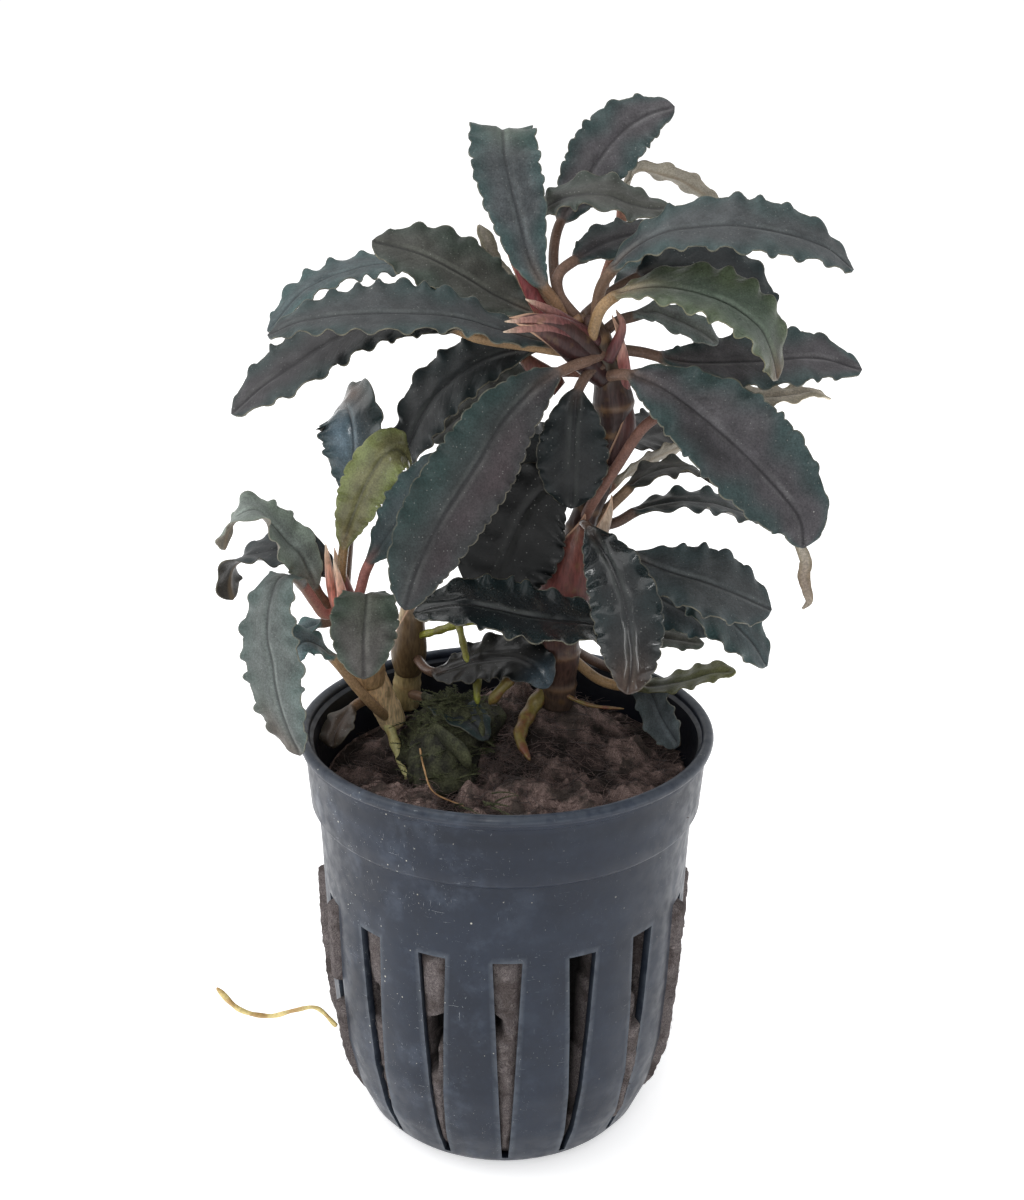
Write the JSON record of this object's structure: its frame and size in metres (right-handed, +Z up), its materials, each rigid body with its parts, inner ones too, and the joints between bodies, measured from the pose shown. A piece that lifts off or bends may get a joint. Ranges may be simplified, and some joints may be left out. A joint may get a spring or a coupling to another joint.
{
  "type": "bucephalandra aquarium plant in a net pot",
  "caption": "Bucephalandra with ruffled dark leaves on creeping stems, rooted in rock wool inside a slotted plastic net pot that stands on its flat base.",
  "frame": {"origin": "centre of the net pot's flat base, on the surface that it stands on", "axes": "+Z up through the pot's mouth; the side of the plant that the picture shows faces -Y, +X is to its right"},
  "size_m": [0.0792, 0.052, 0.1281],
  "materials": {
    "leaf_green": "satin leaf skin, dark grey-green with fine pale speckles",
    "leaf_dark": "satin leaf skin, very dark green",
    "leaf_purple": "satin leaf skin, purplish grey-brown with green edges",
    "leaf_brown": "satin leaf skin, brownish green",
    "leaf_bluish": "satin leaf skin, blue-grey green",
    "leaf_olive": "wet young leaf, olive to yellow-green",
    "leaf_pale": "matte underside or withered leaf, pale beige",
    "stem": "satin rhizome and sheaths, maroon to tan",
    "root": "matte thin root, pale yellow-green",
    "moss": "matte moss and liverwort, dull green",
    "rock_wool": "matte wet mineral fibre, grey-brown",
    "pot_plastic": "satin moulded plastic, dark blue-grey, scuffed"
  },
  "bodies": {
    "root": {"net_pot": "pot_plastic", "rock_wool": "rock_wool", "main_stem": "stem", "left_stem": "stem", "back_stem": "stem", "moss_clump": "moss", "hanging_root": "root", "leaf_upright": "leaf_green", "leaf_brown_left": "leaf_brown", "leaf_long_left": "leaf_green", "leaf_back_left": "leaf_bluish", "leaf_drooping_left": "leaf_purple", "leaf_small_pale": "leaf_pale", "leaf_dark_left": "leaf_dark", "leaf_hidden_left": "leaf_brown", "leaf_front_left": "leaf_purple", "leaf_under_crown": "leaf_dark", "leaf_top": "leaf_purple", "leaf_top_middle": "leaf_brown", "leaf_small_dark": "leaf_purple", "leaf_pale_back": "leaf_pale", "leaf_long_right": "leaf_green", "leaf_olive_right": "leaf_olive", "leaf_back_right": "leaf_dark", "leaf_narrow_right": "leaf_dark", "leaf_far_right": "leaf_purple", "leaf_curled_right": "leaf_pale", "leaf_front_right": "leaf_purple", "leaf_withered": "leaf_pale", "leaf_hanging_front": "leaf_dark", "leaf_right_low": "leaf_dark", "leaf_right_lower": "leaf_dark", "leaf_right_lowest": "leaf_bluish", "leaf_brown_small": "leaf_brown", "leaf_olive_low": "leaf_olive", "leaf_edge_on": "leaf_brown", "leaf_low_arching": "leaf_dark", "leaf_pale_under": "leaf_pale", "leaf_dark_behind": "leaf_dark", "leaf_long_stalk": "leaf_brown", "leaf_shaded": "leaf_dark", "leaf_shaded_upper": "leaf_dark", "leaf_glossy_low": "leaf_dark", "leaf_brown_low": "leaf_purple", "leaf_olive_upright": "leaf_olive", "leaf_beside_front": "leaf_bluish", "leaf_bluish_folded": "leaf_bluish", "leaf_far_left": "leaf_green", "leaf_far_left_dark": "leaf_dark", "leaf_hanging_left": "leaf_bluish", "leaf_facing_left": "leaf_brown", "leaf_teal_curved": "leaf_bluish", "leaf_teal_small": "leaf_bluish", "leaf_in_pot_left": "leaf_brown", "leaf_in_pot_front": "leaf_green", "leaf_in_pot_right": "leaf_dark", "leaf_behind_left": "leaf_green", "leaf_behind_right": "leaf_green", "leaf_behind_middle": "leaf_dark", "leaf_behind_low": "leaf_dark"}
  },
  "joints": []
}
